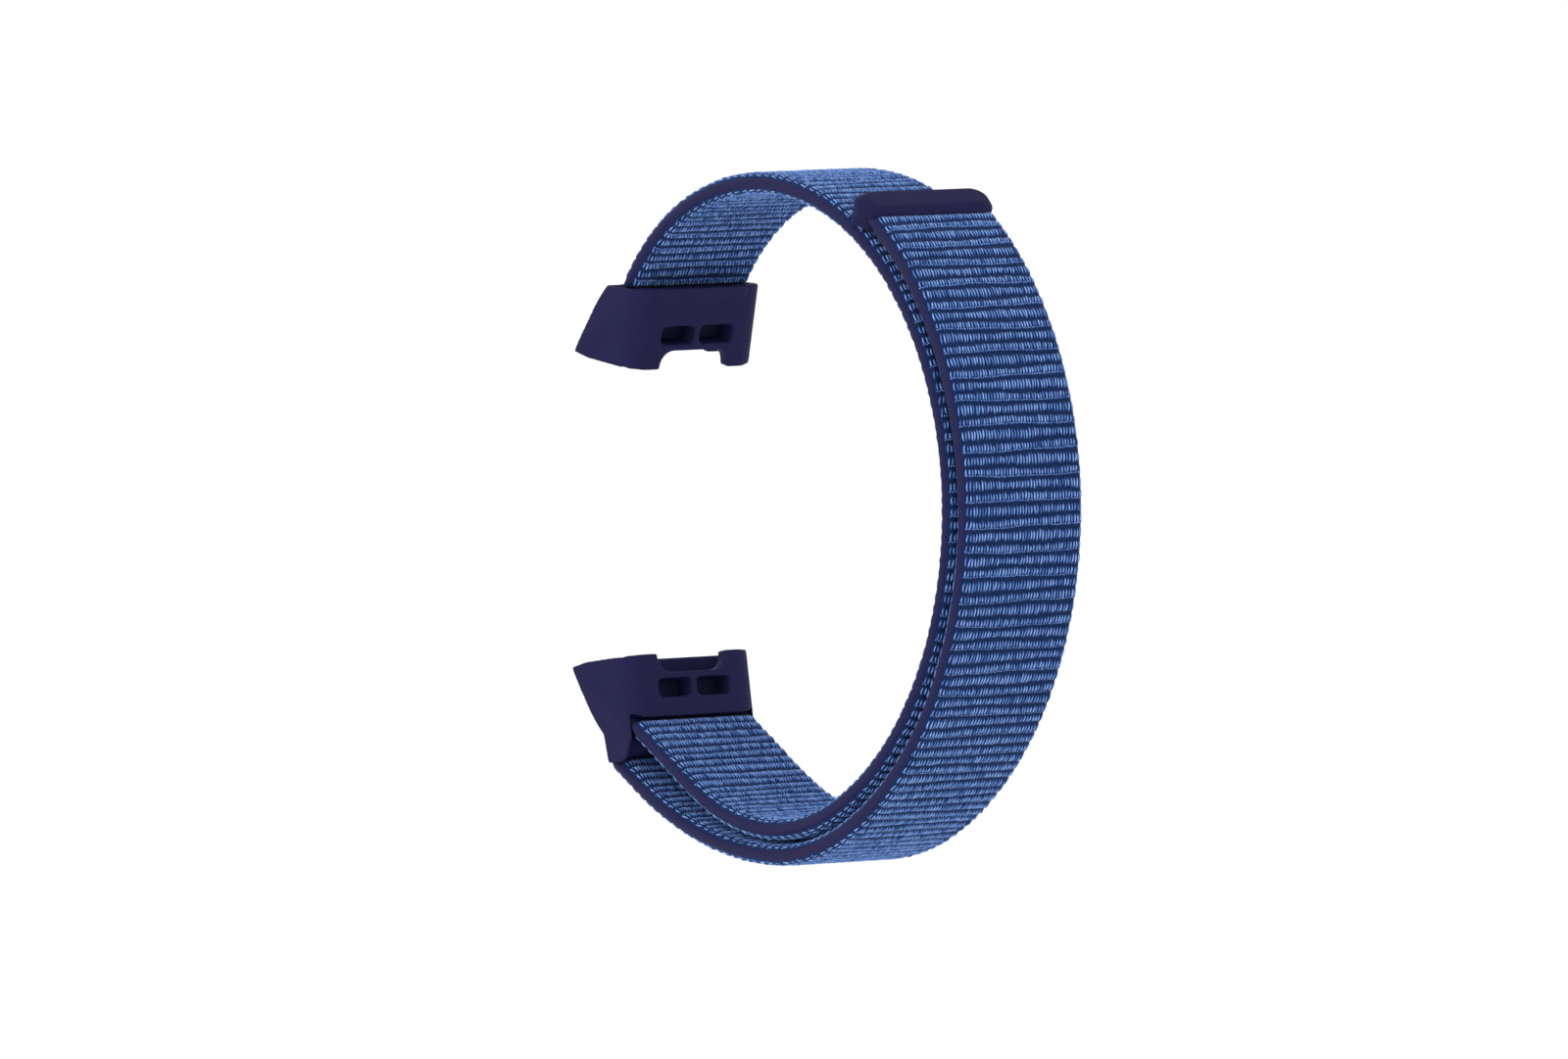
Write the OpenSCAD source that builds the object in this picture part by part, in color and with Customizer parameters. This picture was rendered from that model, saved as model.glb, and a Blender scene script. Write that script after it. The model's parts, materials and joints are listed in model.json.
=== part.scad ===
// Woven wrist band for a slab-shaped activity tracker.
// The strap runs round the wrist in the XZ plane, its width lies along Y, and +Z is up.
// The origin is the middle of the opening for the wrist.

/* [Strap] */
// Width of the woven strap, without its edge beads
strap_w = 17.1; // [15.9:0.1:17.3]
// Thickness of one strap layer
strap_t = 2.5; // [2.3:0.1:2.6]
// Thickness of the core between the two woven faces
core_t = 1.2; // [0.9:0.1:1.3]
// How far the core's edge bead stands out on each side
bead_out = 0.3; // [0.2:0.05:0.4]
// Gap between the inner and the outer layer, for the hook and loop pile
layer_gap = 0.6; // [0.5:0.05:0.7]
// X of the inner layer's middle at the back of the wrist
back_x = 30.6; // [29:0.2:32]
// Z of the inner layer's middle at the back of the wrist
back_z = 0.8; // [0:0.2:1.6]

/* [Connectors] */
// Gap between the connectors, which the tracker fills
tracker_gap = 34.2; // [33.8:0.1:34.6]
// Height of the tracker's middle
tracker_z = -2.9; // [-3.1:0.1:-2.7]
// X of the connector's wrist side at the tracker's end
connector_x = -31; // [-31.2:0.1:-30.8]
// Width of a connector across its outer tips
connector_w = 23.8; // [22.8:0.2:24.4]
// Width of a connector at the strap's mouth
mouth_w = 19.4; // [19.2:0.1:20]
// Width of the notch in the wrist-side wall
notch_w = 10; // [8:0.5:11]
// Depth of the notch
notch_h = 2.3; // [2:0.1:2.4]
// Width of one window
window_w = 4.9; // [4:0.1:5]
// Height of one window
window_h = 2.2; // [1.8:0.1:2.2]
// Depth from the wrist side to the release pad
pad_depth = 3; // [2.8:0.1:3.1]

/* [Pull tab] */
// Length of the pull tab across the strap
tab_len = 19.6; // [18.6:0.2:21]
// Width of the pull tab along the strap
tab_w = 5; // [4.2:0.1:5.4]
// Thickness of the pull tab
tab_t = 3.5; // [3.2:0.1:4]

/* [Hidden] */
$fn = 96;
CLEAR = 0.1;

// Inner layer, from the back of the wrist upwards: radius of each arc and the angle where it ends
TOP_ARCS = [[38.8, 34.5], [35.7, 114.9], [29.9, 146]];
// The same, from the back of the wrist downwards
BOTTOM_ARCS = [[41.8, 35.4], [39.9, 62], [29.6, 116.2], [75, 119.4]];
TOP = 1;
BOTTOM = -1;
TOP_END = TOP_ARCS[2][1];
BOTTOM_END = BOTTOM_ARCS[3][1];

pitch = strap_t + layer_gap;

function dir(a) = [cos(a), sin(a)];
function arc_centre(arcs, i, side) =
    i == 0 ? [back_x - arcs[0][0], back_z]
           : arc_centre(arcs, i - 1, side) + (arcs[i - 1][0] - arcs[i][0]) * dir(side * arcs[i - 1][1]);
function arc_start(arcs, i) = i == 0 ? 0 : arcs[i - 1][1];
function arc_of(arcs, a, i = 0) = i == len(arcs) - 1 || a <= arcs[i][1] ? i : arc_of(arcs, a, i + 1);
// Point of the layer's middle, moved out by off, at the angle a of its outward normal
function on_path(side, a, off = 0) =
    let (arcs = side == TOP ? TOP_ARCS : BOTTOM_ARCS, i = arc_of(arcs, a))
    arc_centre(arcs, i, side) + (arcs[i][0] + off) * dir(side * a);

// Bar in the bottom connector, which the strap folds round
fold_bar_r = 1.5;
fold_r = fold_bar_r + CLEAR + strap_t / 2;
fold_room = 0.25;
FOLD_RUN = 11.2;
bottom_n = dir(-BOTTOM_END);
bottom_t = [bottom_n[1], -bottom_n[0]];
bottom_leg = on_path(BOTTOM, BOTTOM_END) + FOLD_RUN * bottom_t;
fold_bar = bottom_leg + fold_r * bottom_n;

// Outer layer: it leaves the inner one at this angle and runs to the fold on one arc
PART_ANGLE = 88.4;
part_point = on_path(BOTTOM, PART_ANGLE, pitch);
part_gap = (part_point - on_path(BOTTOM, BOTTOM_END)) * bottom_n;
part_r = (2 * fold_r - part_gap) / (1 - cos(BOTTOM_END - PART_ANGLE));
part_centre = part_point - part_r * dir(-PART_ANGLE);

// Bar in the top connector, inside the strap's sewn hem
hem_bar_r = 0.6;
hem_t = 0.65;
hem_r = hem_bar_r + CLEAR + hem_t;
hem_room = 0.45;
HEM_RUN = 1.6;
top_n = dir(TOP_END);
top_t = [-top_n[1], top_n[0]];
top_end = on_path(TOP, TOP_END);
hem_bar = top_end + HEM_RUN * top_t;

// Stages of the outer layer that peel off, by the angle of the normal, down from the pull tab
PEEL = [-58, -18, 22];
TAB_START = 55.9;
SEAM = 0.1;
tab_angle = TAB_START + 3.4;

// Connector frame: u goes in from the wrist side, w from the tracker's end to the strap
TILT = 11;
SHELL_W = [[8.85, 0.38], [7.3, 8.9], [7.2, 10.6]];
// Chamfer of the outer corners: an arc, with the distance along a line at this angle from u, and w
CHAMFER_ANGLE = 53;
CHAMFER_R = 30;
CHAMFER_CENTRE = [-14.9, -5.2];
CHAMFER_END = 11.2;
WALL = 1.7;
SOCKET_W = 2.2;
ARCH_R = 12;
COVER_U = 3;
CORNER_R = 3.6;
FLARE = 18;
EAR_R = 2.1;
INNER_SLOT_W = 7.7;
OUTER_SLOT_W = 7.2;
WINDOW_W = 4.2;
WINDOW_GAP = 0.8;
PAD_T = 0.8;
PAD_TRAVEL = 0.6;
PAD_W = 2.3;
PAD_LEN = 11.6;
SPRING_T = 0.2;
spring_u = pad_depth + PAD_T;
spring_h = 0.9;
cavity_w = strap_w + 2 * bead_out + 0.5;

// ---- courses of the strap ----
// A course is a list of [x, z, angle of the outward normal] along the middle of a layer.

STEP_ANGLE = 4;

function reversed(v) = [for (i = [len(v) - 1 : -1 : 0]) v[i]];
function without_first(v) = [for (i = [1 : len(v) - 1]) v[i]];
function arc_course(centre, r, a0, a1, step = STEP_ANGLE) =
    let (n = ceil(abs(a1 - a0) / step))
    [for (k = [0 : n]) let (a = a0 + (a1 - a0) * k / n) concat(centre + r * dir(a), a)];
// Course along the arcs of one side, moved out by off
function side_course(side, from, to, off = 0) =
    let (arcs = side == TOP ? TOP_ARCS : BOTTOM_ARCS)
    [for (i = [0 : len(arcs) - 1])
        let (a0 = max(from, arc_start(arcs, i)), a1 = min(to, arcs[i][1]))
        if (a1 > a0)
            let (c = arc_course(arc_centre(arcs, i, side), arcs[i][0] + off, side * a0, side * a1))
            each (a0 == from ? c : without_first(c))
    ];
// Course of the outer layer between two signed angles, from the lower one up
function outer_course(from, to) =
    from >= 0 ? side_course(TOP, from, to, pitch)
    : to <= 0 ? reversed(side_course(BOTTOM, -to, -from, pitch))
    : concat(reversed(side_course(BOTTOM, 0, -from, pitch)), without_first(side_course(TOP, 0, to, pitch)));

bar_out = atan2(bottom_n[1], bottom_n[0]);
INNER_COURSE = concat(
    [concat(top_end + (HEM_RUN - hem_r - CLEAR) * top_t, TOP_END)],
    reversed(side_course(TOP, 0, TOP_END)),
    without_first(side_course(BOTTOM, 0, BOTTOM_END)),
    [concat(bottom_leg, -BOTTOM_END)]
);
FOLD_COURSE = concat(
    arc_course(fold_bar, fold_r, bar_out - 180, bar_out, 3 * STEP_ANGLE),
    arc_course(part_centre, part_r, -BOTTOM_END, -PART_ANGLE, STEP_ANGLE / 2),
    without_first(outer_course(-PART_ANGLE, PEEL[0]))
);

// Extrudes an outline in x and z (or u and w) across the width
module across(w) {
    rotate([90, 0, 0]) translate([0, 0, -w / 2]) linear_extrude(w) children();
}

// Ply along a course, between two offsets from the layer's middle
module ply(course, lo, hi, w = strap_w) {
    across(w) polygon(concat(
        [for (s = course) [s[0], s[1]] + lo * dir(s[2])],
        [for (s = reversed(course)) [s[0], s[1]] + hi * dir(s[2])]
    ));
}

// Core with a thinner bead that stands out along each edge
module core_ply(course) {
    ply(course, -core_t / 2, core_t / 2);
    ply(course, -core_t / 4, core_t / 4, strap_w + 2 * bead_out);
}

// ---- inner layer ----

module wrist_face() {
    color([0.28, 0.38, 0.58]) ply(INNER_COURSE, -strap_t / 2, -core_t / 2);
}

module mating_face() {
    color([0.28, 0.38, 0.58]) ply(INNER_COURSE, core_t / 2, strap_t / 2);
}

module inner_core() {
    color([0.17, 0.16, 0.31]) difference() {
        core_ply(INNER_COURSE);
        stitch_row();
    }
}

// Sewn return of the strap, a sleeve round the top bar that the stitches hold to the core's end
module hem() {
    color([0.2, 0.19, 0.36]) difference() {
        translate([hem_bar[0], 0, hem_bar[1]]) rotate([90, 0, 0])
            cylinder(r = hem_r, h = strap_w, center = true);
        translate([hem_bar[0], 0, hem_bar[1]]) rotate([90, 0, 0])
            cylinder(r = hem_bar_r + 0.06, h = strap_w + 2, center = true);
        stitch_row();
    }
}

STITCHES = 9;
STITCH_R = 0.2;
// Stitches run along the strap, from the core's end into the hem
module stitch_row() {
    for (i = [0 : STITCHES - 1])
        translate([top_end[0], (i - (STITCHES - 1) / 2) * strap_w / (STITCHES + 0.5), top_end[1]])
            rotate([0, -TOP_END, 0]) translate([0, 0, HEM_RUN - hem_r - 1.2])
                cylinder(r = STITCH_R, h = 1.7, $fn = 24);
}

module hem_stitches() {
    color([0.75, 0.78, 0.85]) stitch_row();
}

// ---- fold and the fixed part of the outer layer ----

module fold_core() {
    color([0.17, 0.16, 0.31]) core_ply(FOLD_COURSE);
}

module fold_outer_face() {
    color([0.34, 0.44, 0.62]) ply(FOLD_COURSE, core_t / 2, strap_t / 2);
}

module fold_inner_face() {
    color([0.28, 0.38, 0.58]) ply(FOLD_COURSE, -strap_t / 2, -core_t / 2);
}

// ---- stages of the outer layer that peel off ----

// A seam keeps each stage clear of the one before
seam_angle = SEAM / 40 * 180 / PI;
TAB_TONGUE = 5;

// Course of one stage
function stage(i) = outer_course(PEEL[i] + seam_angle, i < 2 ? PEEL[i + 1] : TAB_START);
// The last stage's core reaches on into the pull tab
TONGUE_COURSE = concat(stage(2), without_first(outer_course(TAB_START, TAB_START + TAB_TONGUE)));

module peel_core(i) {
    color([0.17, 0.16, 0.31]) difference() {
        core_ply(i < 2 ? stage(i) : TONGUE_COURSE);
        if (i == 2) tab_holes();
    }
}

module peel_face(i) {
    color([0.34, 0.44, 0.62]) ply(stage(i), core_t / 2, strap_t / 2);
}

module peel_pile(i) {
    color([0.28, 0.38, 0.58]) ply(stage(i), -strap_t / 2, -core_t / 2);
}

module hook_patch() {
    color([0.12, 0.12, 0.22]) ply(stage(2), -strap_t / 2, -core_t / 2);
}

// ---- pull tab ----

TAB_FLOOR = 1.45;
STUDS = 4;
STUD_R = 0.6;

// Puts children in the tab's frame: x out from the strap, y across it, z along it
module in_tab() {
    p = on_path(TOP, tab_angle);
    translate([p[0], 0, p[1]]) rotate([0, -tab_angle, 0]) children();
}

module stadium(length, w) {
    for (s = [-1, 1]) translate([0, s * (length - w) / 2]) circle(d = w, $fn = 32);
    square([w, length - w], center = true);
}

// Slab of the tab's outline between two distances from the inner layer
module tab_slab(lo, hi, shrink = 0) {
    translate([lo, 0, 0]) rotate([0, 90, 0]) linear_extrude(hi - lo)
        stadium(tab_len - 2 * shrink, tab_w - 2 * shrink);
}

module tab_holes() {
    in_tab() for (i = [0 : STUDS - 1])
        translate([TAB_FLOOR + 0.3, (i - (STUDS - 1) / 2) * tab_len / (STUDS + 1), 0.6])
            rotate([0, 90, 0]) cylinder(r = STUD_R, h = tab_t - 1.2);
}

// Room for the core's end between the two halves
module core_room() {
    core_ply(TONGUE_COURSE);
    ply(stage(2), -strap_t / 2, strap_t / 2);
}

module tab_outer_half() {
    color([0.17, 0.16, 0.33]) difference() {
        hull() {
            in_tab() tab_slab(pitch, TAB_FLOOR + tab_t - 1);
            in_tab() tab_slab(pitch, TAB_FLOOR + tab_t, 1);
        }
        core_room();
        tab_holes();
    }
}

module tab_inner_half() {
    color([0.17, 0.16, 0.33]) difference() {
        in_tab() tab_slab(TAB_FLOOR, pitch, 0.3);
        core_room();
        tab_holes();
    }
}

module tab_studs() {
    color([0.2, 0.2, 0.38]) tab_holes();
}

// ---- connectors ----

connector_end = tracker_gap / 2;

// Puts children in a connector's frame: x goes in from the wrist side (u), z to the strap (w)
module in_connector(side) {
    translate([connector_x, 0, tracker_z + side * connector_end])
        mirror([0, 0, side == TOP ? 0 : 1])
            mirror([1, 0, 0]) rotate([0, -TILT, 0]) children();
}

// A point of the XZ plane in a connector's frame
function in_uw(side, p) =
    let (x = connector_x - p[0], z = side * (p[1] - tracker_z) - connector_end)
    [x * cos(TILT) + z * sin(TILT), z * cos(TILT) - x * sin(TILT)];

// Outline in u and y: round corners on the wrist side, and sides that flare to the outer tips
module plan_outline() {
    half = connector_w / 2;
    corner_y = half - CORNER_R * cos(FLARE) - (SHELL_W[0][0] - CORNER_R * (1 - sin(FLARE))) * tan(FLARE);
    corner = [for (a = [0 : 6 : 90 - FLARE]) [CORNER_R * (1 - cos(a)), corner_y + CORNER_R * sin(a)]];
    side = concat([[-2, corner_y]], corner, [[SHELL_W[0][0], half], [12, half]]);
    polygon(concat(side, [for (p = reversed(side)) [p[0], -p[1]]]));
}

// Outline in y and w: as wide as the tips at the tracker's end, and narrow at the strap
module front_outline(top) {
    polygon([
        [-connector_w / 2, -2], [connector_w / 2, -2], [connector_w / 2, 0],
        [mouth_w / 2, 8.5], [mouth_w / 2, top], [-mouth_w / 2, top], [-mouth_w / 2, 8.5],
        [-connector_w / 2, 0]
    ]);
}

// Outline in u and w of the top connector, and of the bottom one with its ear round the bar
module side_outline(side) {
    bar = in_uw(BOTTOM, fold_bar);
    ear = [for (a = [90 : 5 : 180]) bar + EAR_R * dir(a)];
    if (side == TOP)
        polygon([[0, 0], [6.8, 0], SHELL_W[0], SHELL_W[1], [-0.6, 10.3], [0, 8.4]]);
    else
        polygon(concat([[0, 0], [6.8, 0], SHELL_W[0], SHELL_W[2], [7, 12.4]], ear, [[0, 8.4]]));
}

// Space inside the chamfer of one outer corner
module chamfered(s) {
    arc = [for (a = [4 : 3 : 28]) CHAMFER_CENTRE + CHAMFER_R * dir(a)];
    rotate([0, 0, s * CHAMFER_ANGLE]) across(80)
        polygon(concat([[-30, -3]], arc, [[CHAMFER_END, 15], [-30, 15]]));
}

// Solid form of a connector before it is hollowed
module blank(side) {
    intersection() {
        across(connector_w + 2) side_outline(side);
        translate([0, 0, -3]) linear_extrude(18) plan_outline();
        rotate([0, 90, 0]) rotate([0, 0, 90]) translate([0, 0, -2]) linear_extrude(14) front_outline(15);
        chamfered(1);
        chamfered(-1);
    }
}

// Round-cornered window through the wrist-side wall
module window_hole(y) {
    translate([-1, y, WINDOW_W]) rotate([0, 90, 0]) linear_extrude(COVER_U + 1.01) {
        r = 0.6;
        square([window_h, window_w - 2 * r], center = true);
        square([window_h - 2 * r, window_w], center = true);
        for (i = [-1, 1], j = [-1, 1])
            translate([i * (window_h / 2 - r), j * (window_w / 2 - r)]) circle(r = r, $fn = 32);
    }
}

// Notch with round inner corners
module notch() {
    r = 1.9;
    translate([-2, 0, 0]) rotate([90, 0, 90]) linear_extrude(WALL + 2.01) {
        translate([-notch_w / 2, -2]) square([notch_w, 2 + notch_h - r]);
        translate([-notch_w / 2 + r, -2]) square([notch_w - 2 * r, 2 + notch_h]);
        for (s = [-1, 1]) translate([s * (notch_w / 2 - r), notch_h - r]) circle(r = r, $fn = 48);
    }
}

// Socket that the tracker's end enters
module socket() {
    translate([WALL, -connector_w / 2 + 2.6, -3]) cube([5, connector_w - 5.2, 3 + SOCKET_W]);
}

// Shallow arch in the outer wall at the tracker's end
module outer_arch() {
    translate([WALL + 4.9, 0, notch_h - ARCH_R]) rotate([0, 90, 0]) cylinder(r = ARCH_R, h = 4);
}

// Room for the release pad, its tongue and its spring
module latch_room() {
    translate([COVER_U, -PAD_LEN / 2 - CLEAR, WINDOW_W - PAD_W / 2 - CLEAR])
        cube([PAD_T + spring_h + PAD_TRAVEL + CLEAR, PAD_LEN + 2 * CLEAR, PAD_W + 2 * CLEAR]);
    translate([COVER_U, -2.6, SOCKET_W - 0.5]) cube([PAD_T + PAD_TRAVEL + CLEAR, 5.2, 1.5]);
}

// Room for the strap and its bar, open at the mouth
module strap_room(side) {
    bar = side == TOP ? hem_bar : fold_bar;
    out = side == TOP ? TOP_END - 90 : 90 - BOTTOM_END;
    room = side == TOP ? strap_t / 2 + hem_room : fold_r + strap_t / 2 + fold_room;
    bottom = [for (a = [90 : 6 : 270]) bar + room * dir(out + a)];
    across(cavity_w) polygon(concat(bottom, [for (a = [270, 90]) bar + room * dir(out + a) + 12 * dir(out)]));
}

// Where the bottom connector's slot opens: on the wrist side, and on the outer side past the end of its wall
module slot_mouths() {
    translate([-1, -cavity_w / 2, INNER_SLOT_W]) cube([2.2, cavity_w, 2]);
    translate([5.5, -cavity_w / 2, OUTER_SLOT_W]) cube([5, cavity_w, 10]);
}

module bar_hole(side) {
    bar = side == TOP ? hem_bar : fold_bar;
    r = side == TOP ? hem_bar_r : fold_bar_r;
    len = mouth_w - 0.6;
    translate([bar[0], 0, bar[1]]) rotate([90, 0, 0]) cylinder(r = r, h = len, center = true, $fn = 48);
}

// The connector without its hollows, cut at the seam between cover and shell
module connector_half(side, cover) {
    difference() {
        in_connector(side) difference() {
            intersection() {
                blank(side);
                translate([cover ? -5 : COVER_U, -20, -5]) cube([cover ? 5 + COVER_U : 20, 40, 25]);
            }
            notch();
            socket();
            if (side == TOP) outer_arch();
            latch_room();
            if (cover) for (s = [-1, 1]) window_hole(s * (window_w + WINDOW_GAP) / 2);
            if (side == BOTTOM) slot_mouths();
        }
        strap_room(side);
        bar_hole(side);
    }
}

module connector_bar(side) {
    bar_hole(side);
}

// Release pad seen through the windows, with its tongue to the tracker's socket
module release_pad(side) {
    in_connector(side) {
        translate([COVER_U, -PAD_LEN / 2, WINDOW_W - PAD_W / 2]) cube([PAD_T, PAD_LEN, PAD_W]);
        translate([COVER_U, -2.4, SOCKET_W]) cube([PAD_T, 4.8, WINDOW_W - PAD_W / 2 - SOCKET_W]);
    }
}

// Bowed leaf spring behind the pad
module pad_spring(side) {
    half = PAD_LEN / 2 - 0.8;
    in_connector(side) translate([spring_u, 0, WINDOW_W - PAD_W / 2 + 0.3]) linear_extrude(PAD_W - 0.6)
        polygon([
            [0, -1.3], [0, 1.3], [spring_h - SPRING_T, half + 0.1], [spring_h, half],
            [SPRING_T, 1], [SPRING_T, -1], [spring_h, -half], [spring_h - SPRING_T, -half - 0.1]
        ]);
}

module top_cover() { color([0.19, 0.18, 0.34]) connector_half(TOP, true); }
module top_shell() { color([0.19, 0.18, 0.34]) connector_half(TOP, false); }
module top_bar() { color("silver") connector_bar(TOP); }
module top_release_pad() { color([0.15, 0.14, 0.28]) release_pad(TOP); }
module top_pad_spring() { color("silver") pad_spring(TOP); }
module bottom_cover() { color([0.19, 0.18, 0.34]) connector_half(BOTTOM, true); }
module bottom_shell() { color([0.19, 0.18, 0.34]) connector_half(BOTTOM, false); }
module bottom_bar() { color([0.19, 0.18, 0.34]) connector_bar(BOTTOM); }
module bottom_release_pad() { color([0.15, 0.14, 0.28]) release_pad(BOTTOM); }
module bottom_pad_spring() { color("silver") pad_spring(BOTTOM); }

wrist_face();
inner_core();
mating_face();
hem();
hem_stitches();
fold_core();
fold_outer_face();
fold_inner_face();
for (i = [0 : 2]) {
    peel_core(i);
    peel_face(i);
}
for (i = [0 : 1]) peel_pile(i);
hook_patch();
tab_outer_half();
tab_inner_half();
tab_studs();
top_cover();
top_shell();
top_bar();
top_release_pad();
top_pad_spring();
bottom_cover();
bottom_shell();
bottom_bar();
bottom_release_pad();
bottom_pad_spring();
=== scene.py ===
import bpy
import json
import math
import numpy as np
from mathutils import Matrix, Vector


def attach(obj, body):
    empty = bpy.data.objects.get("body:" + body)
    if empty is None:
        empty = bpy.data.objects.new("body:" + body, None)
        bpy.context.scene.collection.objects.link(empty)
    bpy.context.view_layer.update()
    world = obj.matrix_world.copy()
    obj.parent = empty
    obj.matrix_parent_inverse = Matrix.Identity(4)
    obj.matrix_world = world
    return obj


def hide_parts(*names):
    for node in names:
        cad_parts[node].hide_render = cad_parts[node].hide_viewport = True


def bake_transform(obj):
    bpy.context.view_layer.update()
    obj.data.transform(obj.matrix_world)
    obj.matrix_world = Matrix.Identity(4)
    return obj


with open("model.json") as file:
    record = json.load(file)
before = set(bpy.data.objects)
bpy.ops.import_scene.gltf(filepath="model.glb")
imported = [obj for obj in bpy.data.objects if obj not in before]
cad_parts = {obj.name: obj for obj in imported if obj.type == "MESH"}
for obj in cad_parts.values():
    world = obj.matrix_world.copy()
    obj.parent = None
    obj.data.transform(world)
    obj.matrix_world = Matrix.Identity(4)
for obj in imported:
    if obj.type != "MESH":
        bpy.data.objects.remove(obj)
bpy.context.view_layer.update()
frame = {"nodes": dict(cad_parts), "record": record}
MM = 0.001

# ---- sizes repeated from part.scad, in millimetres and degrees ----
STRAP_T, LAYER_GAP = 2.5, 0.6
PITCH = STRAP_T + LAYER_GAP
HALF_T = STRAP_T / 2
HALF_W = 8.62                     # half of the woven width
BACK_X, BACK_Z = 30.6, 0.8
TOP, BOTTOM = 1, -1
ARCS = {
    TOP: ((38.8, 34.5), (35.7, 114.9), (29.9, 146.0)),
    BOTTOM: ((41.8, 35.4), (39.9, 62.0), (29.6, 116.2), (75.0, 119.4)),
}
END = {TOP: 146.0, BOTTOM: 119.4}
HEM_RUN, HEM_R, HEM_CLEAR = 1.6, 1.35, 0.1
FOLD_RUN, FOLD_R, PART_ANGLE = 11.2, 2.85, 88.4
PEEL = (-58.0, -18.0, 22.0)
TAB_START, TAB_ANGLE, TAB_TONGUE = 55.9, 59.3, 5.0
CONNECTOR_X, TRACKER_Z, HALF_GAP, TILT = -31.0, -2.9, 17.1, 11.0
SEAM_U = 3.0                      # where a connector's cover meets its shell
ROW = 1.47                        # pitch of the woven ribs along the strap
STRAND = 0.44                     # pitch of the strands along a rib


# ---- courses of the strap ----
def unit(a):
    return np.array([math.cos(math.radians(a)), math.sin(math.radians(a))])


def centre(side, i):
    arcs = ARCS[side]
    if i == 0:
        return np.array([BACK_X - arcs[0][0], BACK_Z])
    return centre(side, i - 1) + (arcs[i - 1][0] - arcs[i][0]) * unit(side * arcs[i - 1][1])


def arc_points(c, r, a0, a1, step=0.3):
    n = max(2, int(math.ceil(abs(math.radians(a1 - a0)) * r / step)))
    a = np.linspace(a0, a1, n + 1)
    rad = np.radians(a)
    return np.column_stack([c[0] + r * np.cos(rad), c[1] + r * np.sin(rad), a])


def side_points(side, lo, hi, off=0.0):
    """Points of one side's arcs between two unsigned angles, from lo up to hi."""
    rows, start = [], 0.0
    for i, (r, end) in enumerate(ARCS[side]):
        a0, a1 = max(lo, start), min(hi, end)
        if a1 > a0:
            rows.append(arc_points(centre(side, i), r + off, side * a0, side * a1))
        start = end
    return np.vstack(rows)


class Course:
    """A line in the XZ plane with the angle of its outward normal, by arc length."""

    def __init__(self, *parts):
        p = np.vstack(parts)
        keep = np.append(True, np.linalg.norm(np.diff(p[:, :2], axis=0), axis=1) > 1e-6)
        self.p = p[keep]
        self.s = np.append(0, np.cumsum(np.linalg.norm(np.diff(self.p[:, :2], axis=0), axis=1)))
        self.length = self.s[-1]

    def at(self, s):
        """x, z and the normal's angle in radians, at arc length s; runs on straight past the ends."""
        s = np.asarray(s, float)
        x, z, a = (np.interp(s, self.s, self.p[:, i]) for i in range(3))
        a = np.radians(a)
        over = np.where(s < 0, s, np.where(s > self.length, s - self.length, 0.0))
        return x - over * np.sin(a), z + over * np.cos(a), a

    def s_of(self, angle, after=0.0):
        """Arc length where the normal's angle is reached, past the arc length after."""
        m = self.s >= after
        a, s = self.p[m, 2], self.s[m]
        order = np.argsort(a)
        return float(np.interp(angle, a[order], s[order]))


top_end = side_points(TOP, 0, END[TOP])[-1]
hem_t = np.array([-unit(END[TOP])[1], unit(END[TOP])[0]])
hem_face = top_end[:2] + (HEM_RUN - HEM_R - HEM_CLEAR) * hem_t
bottom_end = side_points(BOTTOM, 0, END[BOTTOM])[-1]
bottom_n = unit(-END[BOTTOM])
bottom_t = np.array([bottom_n[1], -bottom_n[0]])
bottom_leg = bottom_end[:2] + FOLD_RUN * bottom_t
fold_bar = bottom_leg + FOLD_R * bottom_n
part_point = side_points(BOTTOM, PART_ANGLE - 1, PART_ANGLE, PITCH)[-1][:2]
part_gap = float((part_point - bottom_end[:2]) @ bottom_n)
part_r = (2 * FOLD_R - part_gap) / (1 - math.cos(math.radians(END[BOTTOM] - PART_ANGLE)))
part_c = part_point - part_r * unit(-PART_ANGLE)
bar_out = math.degrees(math.atan2(bottom_n[1], bottom_n[0]))

# from the bottom connector up the back of the wrist and over to the top connector
INNER = Course(
    np.array([[*bottom_leg, -END[BOTTOM]]]),
    side_points(BOTTOM, 0, END[BOTTOM])[::-1],
    side_points(TOP, 0, END[TOP]),
    np.array([[*hem_face, END[TOP]]]),
)
# round the bar in the bottom connector and up the back of the wrist to the pull tab
OUTER = Course(
    arc_points(fold_bar, FOLD_R, bar_out - 180, bar_out),
    arc_points(part_c, part_r, -END[BOTTOM], -PART_ANGLE),
    side_points(BOTTOM, 0, PART_ANGLE, PITCH)[::-1],
    side_points(TOP, 0, TAB_START + TAB_TONGUE, PITCH),
)
FOLD_END = math.pi * FOLD_R + 1.0        # arc length just past the fold round the bar
s_peel = [OUTER.s_of(a, FOLD_END) for a in PEEL]
s_tab = OUTER.s_of(TAB_START, FOLD_END)


def at_valley(s):
    """The nearest dark band between two ribs."""
    return (round(s / ROW - 0.5) + 0.5) * ROW


# ---- meshes ----
def mesh_piece(name, verts, quads, tones=None, mats=(), smooth=True):
    """A new object from points in millimetres; tones go to the attribute that the yarn's colour reads."""
    me = bpy.data.meshes.new(name)
    me.from_pydata((np.asarray(verts) * MM).tolist(), [], [list(q) for q in quads])
    me.update()
    if tones is not None:
        at = me.attributes.new("tone", "FLOAT", "POINT")
        at.data.foreach_set("value", np.asarray(tones, np.float32))
    for m in mats:
        me.materials.append(m)
    if smooth:
        me.polygons.foreach_set("use_smooth", np.ones(len(me.polygons), bool))
    ob = bpy.data.objects.new(name, me)
    bpy.context.scene.collection.objects.link(ob)
    return ob


def place(course, s, n, y):
    """Points at arc length s, offset n from the layer's middle and place y across the strap."""
    x, z, a = course.at(s)
    return np.stack([x + n * np.cos(a), y + 0 * x, z + n * np.sin(a)], -1)


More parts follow.
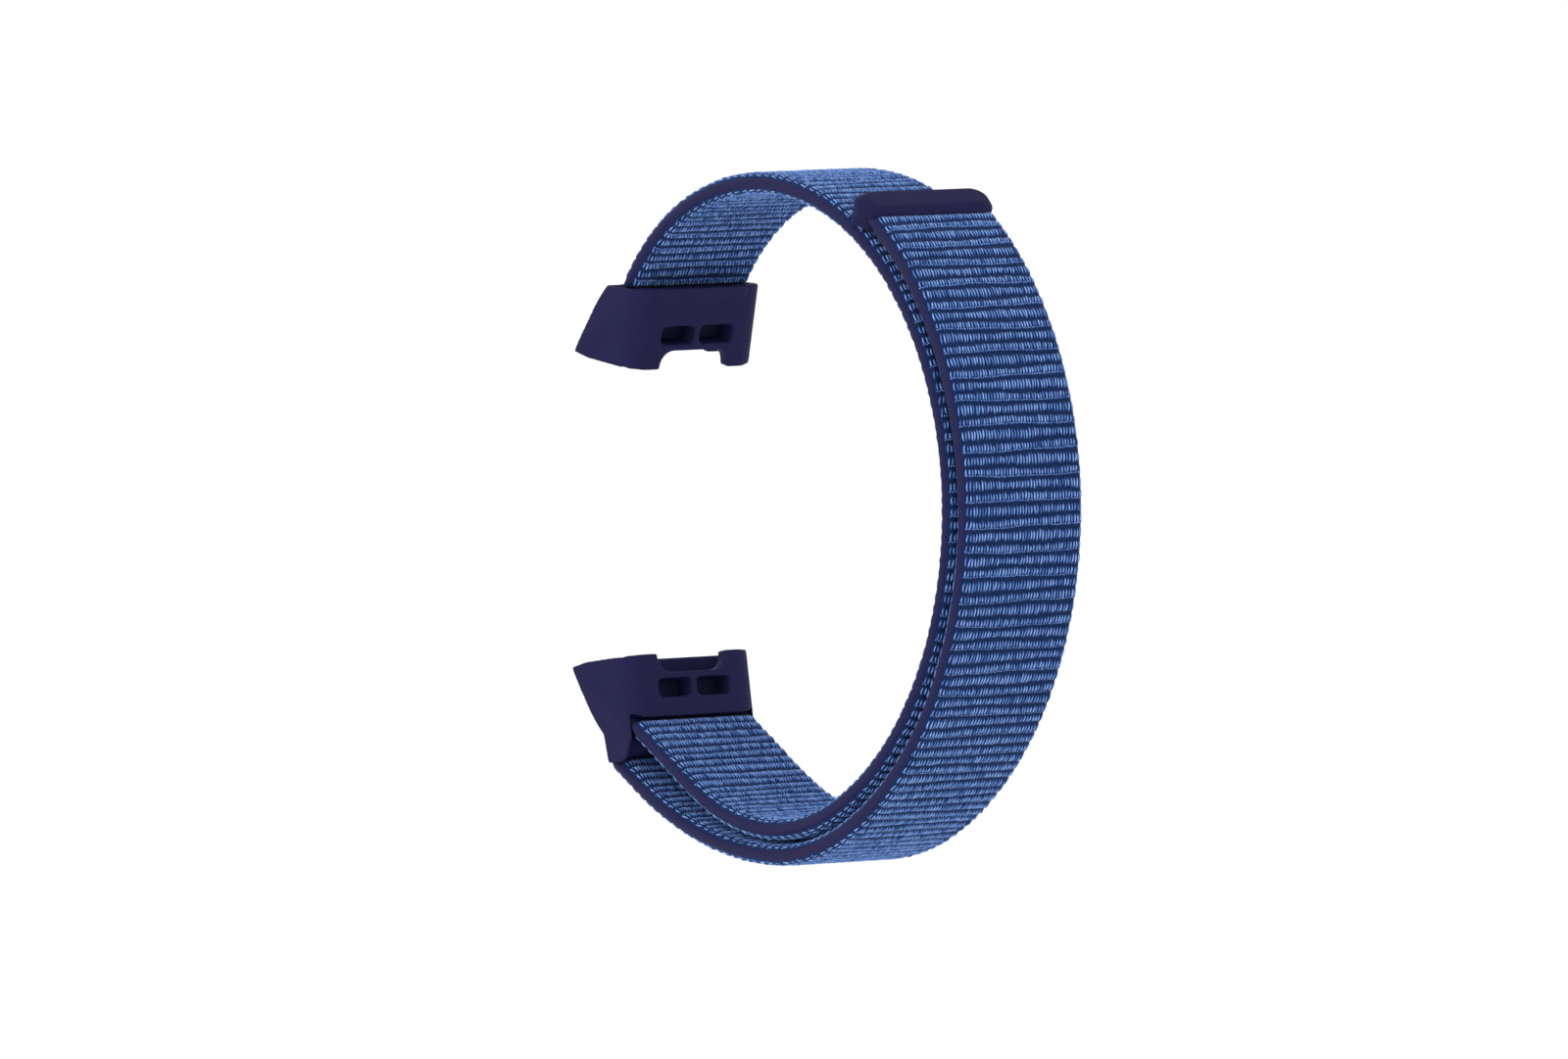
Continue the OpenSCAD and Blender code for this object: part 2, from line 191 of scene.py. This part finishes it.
def tube_quads(rings, around, base=0):
    """Faces of one lofted tube whose vertices run ring by ring."""
    i, j = np.meshgrid(np.arange(rings - 1), np.arange(around), indexing="ij")
    a = i * around + j
    b = i * around + (j + 1) % around
    q = np.stack([a, b, b + around, a + around], -1).reshape(-1, 4) + base
    return q.tolist()


def swept(name, course, s, profile, mats):
    """Closed solid: a closed (y, n) profile swept along the course."""
    prof = np.asarray(profile, float)
    rings = np.stack([place(course, np.full(len(prof), v), prof[:, 1], prof[:, 0]) for v in s])
    quads = tube_quads(len(s), len(prof))
    n = len(prof)
    quads.append(list(range(n - 1, -1, -1)))
    quads.append([(len(s) - 1) * n + k for k in range(n)])
    return mesh_piece(name, rings.reshape(-1, 3), quads, mats=mats)


# ---- the woven faces ----
EDGE_R = 0.78                     # how far in from the edge the face starts to round over
FACE_TOP = HALF_T - 0.04          # height of the flat part above the layer's middle
EDGE_FOOT = 0.47                  # height where the rounded edge ends


def face_line():
    """The rounded surface of a woven face across the strap: arrays of y, n and the outward normal, by length."""
    flat = HALF_W - EDGE_R
    rad = np.radians(np.linspace(180, 90, 7))
    left = np.column_stack([-flat + EDGE_R * np.cos(rad), EDGE_FOOT + (FACE_TOP - EDGE_FOOT) * np.sin(rad)])
    left_n = np.column_stack([np.cos(rad), np.sin(rad)])
    mid_y = np.linspace(-flat, flat, 13)[1:-1]
    mid = np.column_stack([mid_y, np.full(len(mid_y), FACE_TOP)])
    mid_n = np.tile([0.0, 1.0], (len(mid_y), 1))
    pts = np.vstack([left, mid, left[::-1] * [-1, 1]])
    nrm = np.vstack([left_n, mid_n, left_n[::-1] * [-1, 1]])
    t = np.append(0, np.cumsum(np.linalg.norm(np.diff(pts, axis=0), axis=1)))
    return t, pts, nrm


FACE_T, FACE_P, FACE_N = face_line()
FACE_LEN = FACE_T[-1]


def on_face(t, h, side):
    """y and n at length t across the face, raised by h; side is 1 outwards and -1 for the wrist side."""
    y, n, ny, nn = (np.interp(t, FACE_T, c) for c in (*FACE_P.T, *FACE_N.T))
    return y + h * ny, side * (n + h * nn)


# waves of the ribs' wander: height, length along the strap, length across it and phase for each seed
WANDER = ((0.09, 9.1, 37.0, 0.37), (0.07, 4.3, -19.0, 0.61), (0.05, 2.9, 8.3, 0.13))


def warp(s, y, seed):
    """Slow wander of the ribs along the strap."""
    return sum(h * np.sin(2 * np.pi * (s / along + y / across + seed * phase)) for h, along, across, phase in WANDER)


# one rib: place as a share of the row, height and tone; the tone is the dark ground yarn, with painted shade making
# the valleys darker than the crest
RIB = np.array([-0.5, -0.41, -0.31, -0.12, 0.12, 0.31, 0.41])
RIB_H = np.array([-0.20, -0.18, -0.13, -0.09, -0.09, -0.13, -0.18])
RIB_TONE_AND_SHADE = np.array([0.04, 0.05, 0.10, 0.12, 0.12, 0.10, 0.05])
EDGE_FADE, EDGE_RELIEF = 1.3, 0.05   # length over which the relief runs out, and what is left of it


def relief(t):
    """Share of the rib relief at length t across a face, which runs out at the edges."""
    d = np.clip(np.minimum(t, FACE_LEN - t) / EDGE_FADE, 0, 1)
    return EDGE_RELIEF + (1 - EDGE_RELIEF) * d * d * (3 - 2 * d)


FOOT_IN, FOOT_N = 0.1, 0.3        # foot of a woven face, inside the core
# strands of a cord row and of the rows between: length, hook at one end and shift from the rib's middle
CORD_ROW, PLAIN_ROW = (0.92, 0.16, 0.08), (1.10, 0.20, 0.02)
STRAND_IN, STRAND_LEAN, STRAND_TONE, TONE_LO = 0.25, 0.22, 0.84, 0.4
STRAND_HALF, STRAND_STATIONS = 0.105, 5
# how much these vary at random: place on the rib, length, a row's lean, a strand's lean, hook, tone, shift, height
VARY_PLACE, VARY_TALL, VARY_ROW_LEAN, VARY_LEAN = 0.018, 0.06, 0.04, 0.045
VARY_HOOK, VARY_TONE, VARY_SHIFT, VARY_RISE = 0.06, 0.15, 0.035, 0.015
# the line of small dots beside a cord row: pitch, size, place and what varies
DOT, DOT_HALF, DOT_STATIONS, DOT_IN = 0.34, 0.10, 3, 0.2
DOT_DROP, DOT_TALL, DOT_LEAN, DOT_TONE = 0.36, 0.22, -0.7, 0.88
VARY_DOT_PLACE, VARY_DOT_TONE, VARY_DOT_DROP = 0.03, 0.12, 0.02


def woven(name, course, s0, s1, side, seed, mats, plain=()):
    """One woven face between two valleys: a ribbed sheet with its strands standing on the ribs.
    plain lists (s0, s1) stretches hidden in a connector, which get no strands."""
    rng = np.random.default_rng(seed)
    k0, k1 = int(round(s0 / ROW + 0.5)), int(round(s1 / ROW - 0.5))
    rows = np.arange(k0, k1 + 1)
    # sheet
    sp = np.concatenate([(k + RIB) * ROW for k in rows] + [[(k1 + 0.5) * ROW]])
    heights = np.concatenate([np.tile(RIB_H, len(rows)), [RIB_H[0]]])
    # sheet tones: the dark ground yarn, painted darker in the valleys as painted shade
    shades = np.concatenate([np.tile(RIB_TONE_AND_SHADE, len(rows)), [0.0]])
    S, T = np.meshgrid(sp, FACE_T, indexing="ij")
    Y, N = on_face(T, heights[:, None] * relief(FACE_T)[None], side)
    seam = np.minimum(1, np.minimum(S - sp[0], sp[-1] - S) / ROW)
    top = place(course, S - warp(S, Y, seed) * seam, N, Y)
    foot_y = np.tile([HALF_W - FOOT_IN, FOOT_IN - HALF_W], (len(sp), 1))
    foot = place(course, np.repeat(sp[:, None], 2, 1), np.full((len(sp), 2), side * FOOT_N), foot_y)
    rings = np.concatenate([top, foot], 1)
    around = rings.shape[1]
    quads = tube_quads(len(sp), around)
    quads.append(list(range(around - 1, -1, -1)))
    quads.append([(len(sp) - 1) * around + k for k in range(around)])
    verts = [rings.reshape(-1, 3)]
    sheet_tones = np.repeat(shades[:, None], len(FACE_T), 1)
    tones = [np.concatenate([sheet_tones, np.zeros((len(sp), 2))], 1).ravel()]
    count = verts[0].shape[0]
    # strands
    ends = (sp[0], sp[-1])
    for k in rows:
        s_mid = k * ROW
        if any(a < s_mid < b for a, b in plain):
            continue
        cord = k % 2 == 0
        row_tall, row_hook, row_shift = CORD_ROW if cord else PLAIN_ROW
        n = int(FACE_LEN / STRAND)
        t0 = STRAND_IN + (np.arange(n) + 0.5) * (FACE_LEN - 2 * STRAND_IN) / n + rng.normal(0, VARY_PLACE, n)
        tall = row_tall + rng.normal(0, VARY_TALL, n)
        lean = rng.normal(STRAND_LEAN, VARY_ROW_LEAN) + rng.normal(0, VARY_LEAN, n)
        hook = np.abs(rng.normal(row_hook, VARY_HOOK, n))
        tone = np.clip(rng.normal(STRAND_TONE, VARY_TONE, n), TONE_LO, 1.0)
        base_s = s_mid + row_shift + rng.normal(0, VARY_SHIFT, n)
        size = (STRAND_HALF, STRAND_STATIONS)
        batches = [strand_mesh(course, base_s, t0, tall, lean, hook, tone, side, seed, size, ends, rng)]
        if cord:
            m = int(FACE_LEN / DOT)
            t1 = DOT_IN + (np.arange(m) + 0.5) * (FACE_LEN - 2 * DOT_IN) / m + rng.normal(0, VARY_DOT_PLACE, m)
            dots = np.clip(rng.normal(DOT_TONE, VARY_DOT_TONE, m), TONE_LO, 1.0)
            base_s = s_mid - DOT_DROP + rng.normal(0, VARY_DOT_DROP, m)
            tall, lean, hook = np.full(m, DOT_TALL), np.full(m, DOT_LEAN), np.zeros(m)
            size = (DOT_HALF, DOT_STATIONS)
            batches.append(strand_mesh(course, base_s, t1, tall, lean, hook, dots, side, seed, size, ends, rng))
        for v, q, w in batches:
            quads += (q + count).tolist()
            verts.append(v)
            tones.append(w)
            count += len(v)
    return mesh_piece(name, np.vstack(verts), quads, np.concatenate(tones), mats)


# a strand's cross-section: foot, shoulder, shoulder, foot; the shade row paints the feet darker, as painted shade
# where the strand goes down into the sheet
SECTION_W = np.array([-1.0, -0.6, 0.6, 1.0])
SECTION_H = np.array([-0.16, 0.05, 0.05, -0.16])
SECTION_SHADE = np.array([0.2, 1.0, 1.0, 0.2])
DIVE, ARCH, ARCH_POWER = -0.20, 0.25, 2.6      # how deep the ends dive, how high the middle stands, how square
END_WIDTH_AND_SHADE = 0.55                               # width and tone at a strand's ends, as a share of its middle's; the lower tone there is painted shade where the ends dive into the sheet


def strand_mesh(course, s_mid, t_mid, tall, lean, hook, tone, side, seed, size, ends, rng):
    """Closed strands: four-sided tubes that arch over the rib and dive at both ends.
    size is the half width and the number of stations, ends the arc lengths where the wander stops."""
    half_w, stations = size
    n = len(t_mid)
    tau = np.linspace(0, 1, stations)
    ds = tall[:, None] * (tau - 0.5)[None]
    dt = lean[:, None] * ds + hook[:, None] * (1 - tau)[None] ** 3
    arch = 1 - np.abs(2 * tau - 1) ** ARCH_POWER
    rise = (DIVE + ARCH * arch)[None] * relief(t_mid)[:, None] + rng.normal(0, VARY_RISE, n)[:, None]
    share = (END_WIDTH_AND_SHADE + (1 - END_WIDTH_AND_SHADE) * arch)[None]
    taper = share * half_w
    T = np.clip((t_mid[:, None] + dt)[:, :, None] + taper[:, :, None] * SECTION_W, 0.0, FACE_LEN)
    S = np.repeat((s_mid[:, None] + ds)[:, :, None], 4, 2)
    Y, N = on_face(T, rise[:, :, None] + SECTION_H, side)
    S = S - warp(S, Y, seed) * np.clip(np.minimum(S - ends[0], ends[1] - S) / ROW, 0, 1)
    V = place(course, S, N, Y).reshape(-1, 3)
    # each vertex's tone: the strand's own tone, darkened by painted shade toward its ends and on its feet
    W = ((tone[:, None] * share)[:, :, None] * SECTION_SHADE).ravel()
    last = (stations - 1) * 4
    caps = [[3, 2, 1, 0], [last, last + 1, last + 2, last + 3]]
    q = np.vstack([tube_quads(stations, 4), caps])
    q = (q[None] + (np.arange(n) * stations * 4)[:, None, None]).reshape(-1, 4)
    return V, q, W


HOOK_STEP, HOOK_ROW, HOOK_WIRE = 0.85, 0.9, 0.07   # across, along and half the wire's thickness
HOOK_FIRST, HOOK_LAST, HOOK_STAGGER, VARY_HOOK_PLACE = 0.7, 0.5, 0.4, 0.04
HOOK_S = np.array([0.0, 0.02, 0.14, 0.30, 0.34])     # a hook's line along the strap and out from the tape
HOOK_N = np.array([0.05, -0.22, -0.36, -0.32, -0.20])
TAPE_LO, TAPE_HI, TAPE_IN = 0.12 - HALF_T, -0.3, 0.25
RING_STEP = 0.8                   # spacing of the rings along a swept piece


def hook_tape(name, course, s0, s1, seed, mats):
    """Backing tape on the wrist side of the course, with rows of bent hooks standing on it."""
    rng = np.random.default_rng(seed)
    half = HALF_W - TAPE_IN
    outline_y = np.array([-half, half, half, -half])
    outline_n = np.array([TAPE_LO, TAPE_LO, TAPE_HI, TAPE_HI])
    s = np.linspace(s0, s1, max(3, int((s1 - s0) / RING_STEP)))
    verts = [np.concatenate([place(course, np.full(4, v), outline_n, outline_y) for v in s])]
    quads = tube_quads(len(s), 4)
    quads += [[3, 2, 1, 0], [4 * len(s) - 4 + k for k in range(4)]]
    count = len(verts[0])
    wire_s = HOOK_WIRE * np.array([-1, 1, 1, -1])
    wire_y = HOOK_WIRE * np.array([-1, -1, 1, 1])
    for k, v in enumerate(np.arange(s0 + HOOK_ROW, s1 - RING_STEP, HOOK_ROW)):
        way = 1 if (k // 2) % 2 else -1
        for y in np.arange(-half + HOOK_FIRST + HOOK_STAGGER * (k % 2), half - HOOK_LAST, HOOK_STEP):
            y2, v2 = y + rng.normal(0, VARY_HOOK_PLACE), v + rng.normal(0, VARY_HOOK_PLACE)
            for ds, dn in zip(HOOK_S, HOOK_N):
                verts.append(place(course, v2 + way * ds + wire_s, np.full(4, TAPE_LO + dn), y2 + wire_y))
            quads += tube_quads(len(HOOK_S), 4, base=count)
            count += 4 * len(HOOK_S)
            quads += [[count - 4 * len(HOOK_S) + i for i in (3, 2, 1, 0)], [count - 4 + i for i in range(4)]]
    return mesh_piece(name, np.vstack(verts), quads, mats=mats, smooth=False)


BEAD_R, BEAD_Y = 0.64, HALF_W - 0.27   # the core's edge bead and its middle
BEAD_WRAP = 132                   # degrees of the bead's circle on each side, before the web


def bead_profile():
    """Closed outline of the core: a round bead along each edge and a thin web between."""
    wrap = np.radians(np.linspace(-BEAD_WRAP, BEAD_WRAP, 19))
    right = [(BEAD_Y + BEAD_R * math.cos(a), BEAD_R * math.sin(a)) for a in wrap]
    left = [(-y, n) for y, n in reversed(right)]
    return right + left


def core(name, course, s0, s1, mats):
    """The strap's core between two arc lengths."""
    n = max(4, int((s1 - s0) / RING_STEP))
    return swept(name, course, np.linspace(s0, s1, n + 1), bead_profile(), mats)


# ---- materials ----
def linear(rgb):
    """Linear colour with alpha from 8-bit sRGB."""
    c = np.array(rgb) / 255
    return tuple(np.where(c <= 0.04045, c / 12.92, ((c + 0.055) / 1.055) ** 2.4).tolist()) + (1.0,)


def new_material(name, roughness, sheen=0.0, specular=0.5, metallic=0.0):
    m = bpy.data.materials.new(name)
    m.use_nodes = True
    b = m.node_tree.nodes["Principled BSDF"]
    b.inputs["Roughness"].default_value = roughness
    b.inputs["Metallic"].default_value = metallic
    b.inputs["Specular IOR Level"].default_value = specular
    b.inputs["Sheen Weight"].default_value = sheen
    b.inputs["Sheen Roughness"].default_value = 0.5
    return m, m.node_tree.nodes, m.node_tree.links, b


def noise_node(nodes, links, coords, scale, detail=2.0):
    t = nodes.new("ShaderNodeTexNoise")
    t.inputs["Scale"].default_value = scale
    t.inputs["Detail"].default_value = detail
    links.new(coords, t.inputs["Vector"])
    return t.outputs["Fac"]


def span(nodes, links, value, lo, hi):
    r = nodes.new("ShaderNodeMapRange")
    r.inputs["To Min"].default_value = lo
    r.inputs["To Max"].default_value = hi
    links.new(value, r.inputs["Value"])
    return r.outputs["Result"]


def bump(nodes, links, height, strength, distance, bsdf):
    b = nodes.new("ShaderNodeBump")
    b.inputs["Strength"].default_value = strength
    b.inputs["Distance"].default_value = distance
    links.new(height, b.inputs["Height"])
    links.new(b.outputs["Normal"], bsdf.inputs["Normal"])


def woven_material(name, stops):
    """Yarn whose tone is carried by the mesh, with slow and fine variation."""
    m, nodes, links, b = new_material(name, 0.82, sheen=0.1, specular=0.08)
    at = nodes.new("ShaderNodeAttribute")
    at.attribute_name = "tone"
    co = nodes.new("ShaderNodeTexCoord").outputs["Object"]
    fine = span(nodes, links, noise_node(nodes, links, co, 2600.0), -0.12, 0.12)
    slow = span(nodes, links, noise_node(nodes, links, co, 260.0), -0.06, 0.06)
    add1 = nodes.new("ShaderNodeMath")
    add2 = nodes.new("ShaderNodeMath")
    links.new(at.outputs["Fac"], add1.inputs[0])
    links.new(fine, add1.inputs[1])
    links.new(add1.outputs[0], add2.inputs[0])
    links.new(slow, add2.inputs[1])
    ramp = nodes.new("ShaderNodeValToRGB")
    ramp.color_ramp.elements[0].position = stops[0][0]
    ramp.color_ramp.elements[0].color = linear(stops[0][1])
    ramp.color_ramp.elements[1].position = stops[-1][0]
    ramp.color_ramp.elements[1].color = linear(stops[-1][1])
    for pos, rgb in stops[1:-1]:
        ramp.color_ramp.elements.new(pos).color = linear(rgb)
    links.new(add2.outputs[0], ramp.inputs["Fac"])
    links.new(ramp.outputs["Color"], b.inputs["Base Color"])
    links.new(span(nodes, links, noise_node(nodes, links, co, 900.0), 0.72, 0.92), b.inputs["Roughness"])
    bump(nodes, links, noise_node(nodes, links, co, 5200.0), 0.35, 0.00006, b)
    return m


def solid_material(name, rgb, roughness, grain, depth, specular=0.4, metallic=0.0, spread=0.06, sheen=0.0):
    """Moulded or drawn surface: nearly one colour, with fine grain and uneven roughness."""
    m, nodes, links, b = new_material(name, roughness, sheen=sheen, specular=specular, metallic=metallic)
    co = nodes.new("ShaderNodeTexCoord").outputs["Object"]
    mix = nodes.new("ShaderNodeMix")
    mix.data_type = "RGBA"
    base = linear(rgb)
    mix.inputs["A"].default_value = tuple(c * (1 - spread) for c in base[:3]) + (1.0,)
    mix.inputs["B"].default_value = tuple(c * (1 + spread) for c in base[:3]) + (1.0,)
    links.new(noise_node(nodes, links, co, 180.0), mix.inputs["Factor"])
    links.new(mix.outputs["Result"], b.inputs["Base Color"])
    uneven = span(nodes, links, noise_node(nodes, links, co, 420.0), roughness - 0.07, roughness + 0.07)
    links.new(uneven, b.inputs["Roughness"])
    bump(nodes, links, noise_node(nodes, links, co, grain, 3.0), 0.25, depth, b)
    return m


YARN = ((0.0, (8, 34, 76)), (0.22, (18, 46, 96)), (0.55, (76, 114, 182)), (1.0, (146, 184, 246)))
M_WEAVE = woven_material("woven_yarn", YARN)
MOULDED_GRAIN, FINE_DEPTH = 3000.0, 0.00001
M_CORE = solid_material("core_edge", (38, 37, 76), 0.75, 2400.0, 0.00003, specular=0.1)
M_PLASTIC = solid_material("satin_plastic", (36, 35, 72), 0.62, MOULDED_GRAIN, FINE_DEPTH, specular=0.05)
M_TAB = solid_material("tab_plastic", (33, 32, 69), 0.62, MOULDED_GRAIN, FINE_DEPTH, specular=0.05)
M_PAD = solid_material("pad_plastic", (38, 37, 72), 0.62, MOULDED_GRAIN, FINE_DEPTH, specular=0.1)
M_STEEL = solid_material("pin_steel", (170, 172, 176), 0.35, 4000.0, FINE_DEPTH, metallic=1.0, spread=0.03)
M_HOOK = solid_material("hook_tape", (26, 30, 62), 0.5, MOULDED_GRAIN, FINE_DEPTH, specular=0.2)
M_THREAD = solid_material("thread", (196, 202, 220), 0.8, 5000.0, 0.00004, sheen=0.2)

NODE_MATERIAL = {"connector_plastic": M_PLASTIC, "tab_plastic": M_TAB, "pad_plastic": M_PAD, "pin_steel": M_STEEL,
                 "thread": M_THREAD, "core_nylon": M_CORE, "hook_tape": M_HOOK, "woven_nylon": M_WEAVE}
for row in frame["record"]["subparts"]:
    ob = frame["nodes"][row["node"]]
    ob.data.materials.clear()
    ob.data.materials.append(NODE_MATERIAL[row["material_slot"]])


def keep(piece, slot, body, *nodes):
    """Rides a finished piece on its body in place of these CAD nodes."""
    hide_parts(*nodes)
    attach(piece, body)


def connector_axes(side):
    """Origin of a connector's frame in millimetres, and its u axis, inwards from the wrist side."""
    t = math.radians(TILT)
    return Vector((CONNECTOR_X, 0, TRACKER_Z + side * HALF_GAP)), Vector((-math.cos(t), 0, side * math.sin(t)))


FUSE = 0.08                       # overlap given to the first half, so the two close into one surface
ON_SEAM = 0.002                   # how near the seam a corner counts as on it
CONNECTOR_VOXEL, CONNECTOR_PASSES = 0.17, 16
TAB_VOXEL, TAB_PASSES = 0.16, 14
SMOOTH_FACTOR = 0.5


def moulded(name, nodes, origin, axis, seam, voxel, passes, material):
    """One smooth moulding over the CAD solids of its two halves, which meet at the seam along the axis."""
    verts, faces = [], []
    for k, node in enumerate(nodes):
        ob = frame["nodes"][node]
        base = len(verts)
        for v in ob.data.vertices:
            p = ob.matrix_world @ v.co / MM
            if k == 0 and abs((p - origin).dot(axis) - seam) < ON_SEAM:
                p = p + FUSE * axis
            verts.append(p)
        faces += [[base + i for i in f.vertices] for f in ob.data.polygons]
    piece = mesh_piece(name, verts, faces, smooth=False)
    remesh = piece.modifiers.new("voxels", "REMESH")
    remesh.mode = "VOXEL"
    remesh.voxel_size = voxel * MM
    smooth = piece.modifiers.new("smooth", "SMOOTH")
    smooth.factor = SMOOTH_FACTOR
    smooth.iterations = passes
    done = bpy.data.meshes.new_from_object(piece.evaluated_get(bpy.context.evaluated_depsgraph_get()))
    piece.modifiers.clear()
    piece.data = done
    done.polygons.foreach_set("use_smooth", np.ones(len(done.polygons), bool))
    done.materials.append(material)
    return piece


for side, label in ((TOP, "top"), (BOTTOM, "bottom")):
    halves = (f"{label}_cover", f"{label}_shell")
    moulding = moulded(f"{label}_moulding", halves, *connector_axes(side), SEAM_U,
                       CONNECTOR_VOXEL, CONNECTOR_PASSES, M_PLASTIC)
    keep(moulding, "connector_plastic", f"{label}_connector", *halves)

tab_centre = side_points(TOP, TAB_ANGLE - 1, TAB_ANGLE)[-1][:2]
tab_axis = unit(TAB_ANGLE)
tab_halves = ("tab_inner_half", "tab_outer_half")
tab = moulded("pull_tab", tab_halves, Vector((tab_centre[0], 0, tab_centre[1])),
              Vector((tab_axis[0], 0, tab_axis[1])), PITCH, TAB_VOXEL, TAB_PASSES, M_TAB)
keep(tab, "tab_plastic", "free_end", *tab_halves)

SEED_WRIST, SEED_MATING, SEED_OUTER, SEED_PILE, SEED_HOOKS = 11, 23, 41, 57, 71
# stretches of a layer that carry no strands, because a connector hides them or the fold closes on them
HIDDEN_INNER, HIDDEN_OUTER, HIDDEN_PILE = ((-1.0, 1.0),), ((-1.0, 3.0),), ((-1.0, FOLD_END),)

# ---- inner layer ----
inner_cut = at_valley(INNER.s_of(0.0))
inner_end = at_valley(INNER.length)
for part, a, b in (("lower", at_valley(0.3), inner_cut), ("upper", inner_cut, inner_end)):
    wrist = woven(f"wrist_weave_{part}", INNER, a, b, -1, SEED_WRIST, [M_WEAVE], HIDDEN_INNER)
    keep(wrist, "woven_nylon", "strap", "wrist_face")
    mating = woven(f"mating_weave_{part}", INNER, a, b, 1, SEED_MATING, [M_WEAVE], HIDDEN_INNER)
    keep(mating, "woven_nylon", "strap", "mating_face")
keep(core("inner_edge_core", INNER, 0.0, INNER.length, [M_CORE]), "core_nylon", "strap", "inner_core")

# ---- outer layer: three stretches, each across one peel joint ----
between = [(s_peel[i] + s_peel[i + 1]) / 2 for i in range(2)]
cuts = [at_valley(s) for s in (0.5, *between, s_tab)]
FACES = (("fold_outer_face", "peel_face_1"), ("peel_face_2",), ("peel_face_3",))
PILES = (("fold_inner_face", "peel_pile_1"), ("peel_pile_2",), ("hook_patch",))
CORES = (("fold_core", "peel_core_1"), ("peel_core_2",), ("peel_core_3",))


def bend(piece, nodes):
    """Hides these CAD nodes and bakes the piece's place into its mesh, where it stays."""
    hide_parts(*nodes)
    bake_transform(piece)


for i in range(3):
    a, b = cuts[i], cuts[i + 1]
    face = woven(f"outer_weave_{i + 1}", OUTER, a, b, 1, SEED_OUTER, [M_WEAVE], HIDDEN_OUTER)
    bend(face, FACES[i])
    if i < 2:
        pile = woven(f"outer_pile_{i + 1}", OUTER, a, b, -1, SEED_PILE, [M_WEAVE], HIDDEN_PILE)
        bend(pile, PILES[i])
    else:
        bend(hook_tape("outer_hook_tape", OUTER, a, b, SEED_HOOKS, [M_HOOK]), PILES[i])
    core_start = 0.0 if i == 0 else a
    core_end = b if i < 2 else OUTER.length
    bend(core(f"outer_edge_core_{i + 1}", OUTER, core_start, core_end, [M_CORE]), CORES[i])

# ---- camera, light and floor ----
AZIMUTH, ELEVATION, ROLL = 53.098, 4.525, 0.453
DISTANCE, TARGET = 2500.0, Vector((-10.592, -1.515, -3.789))
LENS = 479.29
SUN_POWER, SUN_ANGLE, SUN_FROM = 0.55, 40, Vector((0.2, -0.8, 0.35))

az, el, roll = (math.radians(v) for v in (AZIMUTH, ELEVATION, ROLL))
back = Vector((math.sin(az) * math.cos(el), -math.cos(az) * math.cos(el), math.sin(el)))
right = Vector((math.cos(az), math.sin(az), 0))
up = back.cross(right)
right2 = math.cos(roll) * right + math.sin(roll) * up
up2 = math.cos(roll) * up - math.sin(roll) * right
cam_data = bpy.data.cameras.new("camera")
cam_data.lens = LENS
cam_data.sensor_width = 36.0
cam_data.clip_start = 0.05
cam_data.clip_end = 60.0
cam = bpy.data.objects.new("camera", cam_data)
spin = Matrix((right2, up2, back)).transposed().to_4x4()
cam.matrix_world = Matrix.Translation((TARGET + DISTANCE * back) * MM) @ spin
bpy.context.scene.collection.objects.link(cam)
bpy.context.scene.camera = cam
bpy.context.scene.view_settings.view_transform = "Standard"

world = bpy.data.worlds.new("studio")
world.use_nodes = True
world.node_tree.nodes["Background"].inputs["Color"].default_value = (1, 1, 1, 1)
world.node_tree.nodes["Background"].inputs["Strength"].default_value = 1.0
bpy.context.scene.world = world

FLOOR_HALF, FLOOR_Z = 6.0, -0.12
me = bpy.data.meshes.new("floor")
corners = ((-1, -1), (1, -1), (1, 1), (-1, 1))
me.from_pydata([(x * FLOOR_HALF, y * FLOOR_HALF, FLOOR_Z) for x, y in corners], [], [(0, 1, 2, 3)])
floor = bpy.data.objects.new("floor", me)
bpy.context.scene.collection.objects.link(floor)
me.materials.append(solid_material("floor", (253, 253, 253), 0.9, 60.0, 0.0001, specular=0.0, spread=0.0))

sun = bpy.data.lights.new("key", "SUN")
sun.energy = SUN_POWER
sun.angle = math.radians(SUN_ANGLE)
sun_ob = bpy.data.objects.new("key", sun)
sun_ob.rotation_mode = "QUATERNION"
sun_ob.rotation_quaternion = (-SUN_FROM).to_track_quat("-Z", "Y")
bpy.context.scene.collection.objects.link(sun_ob)
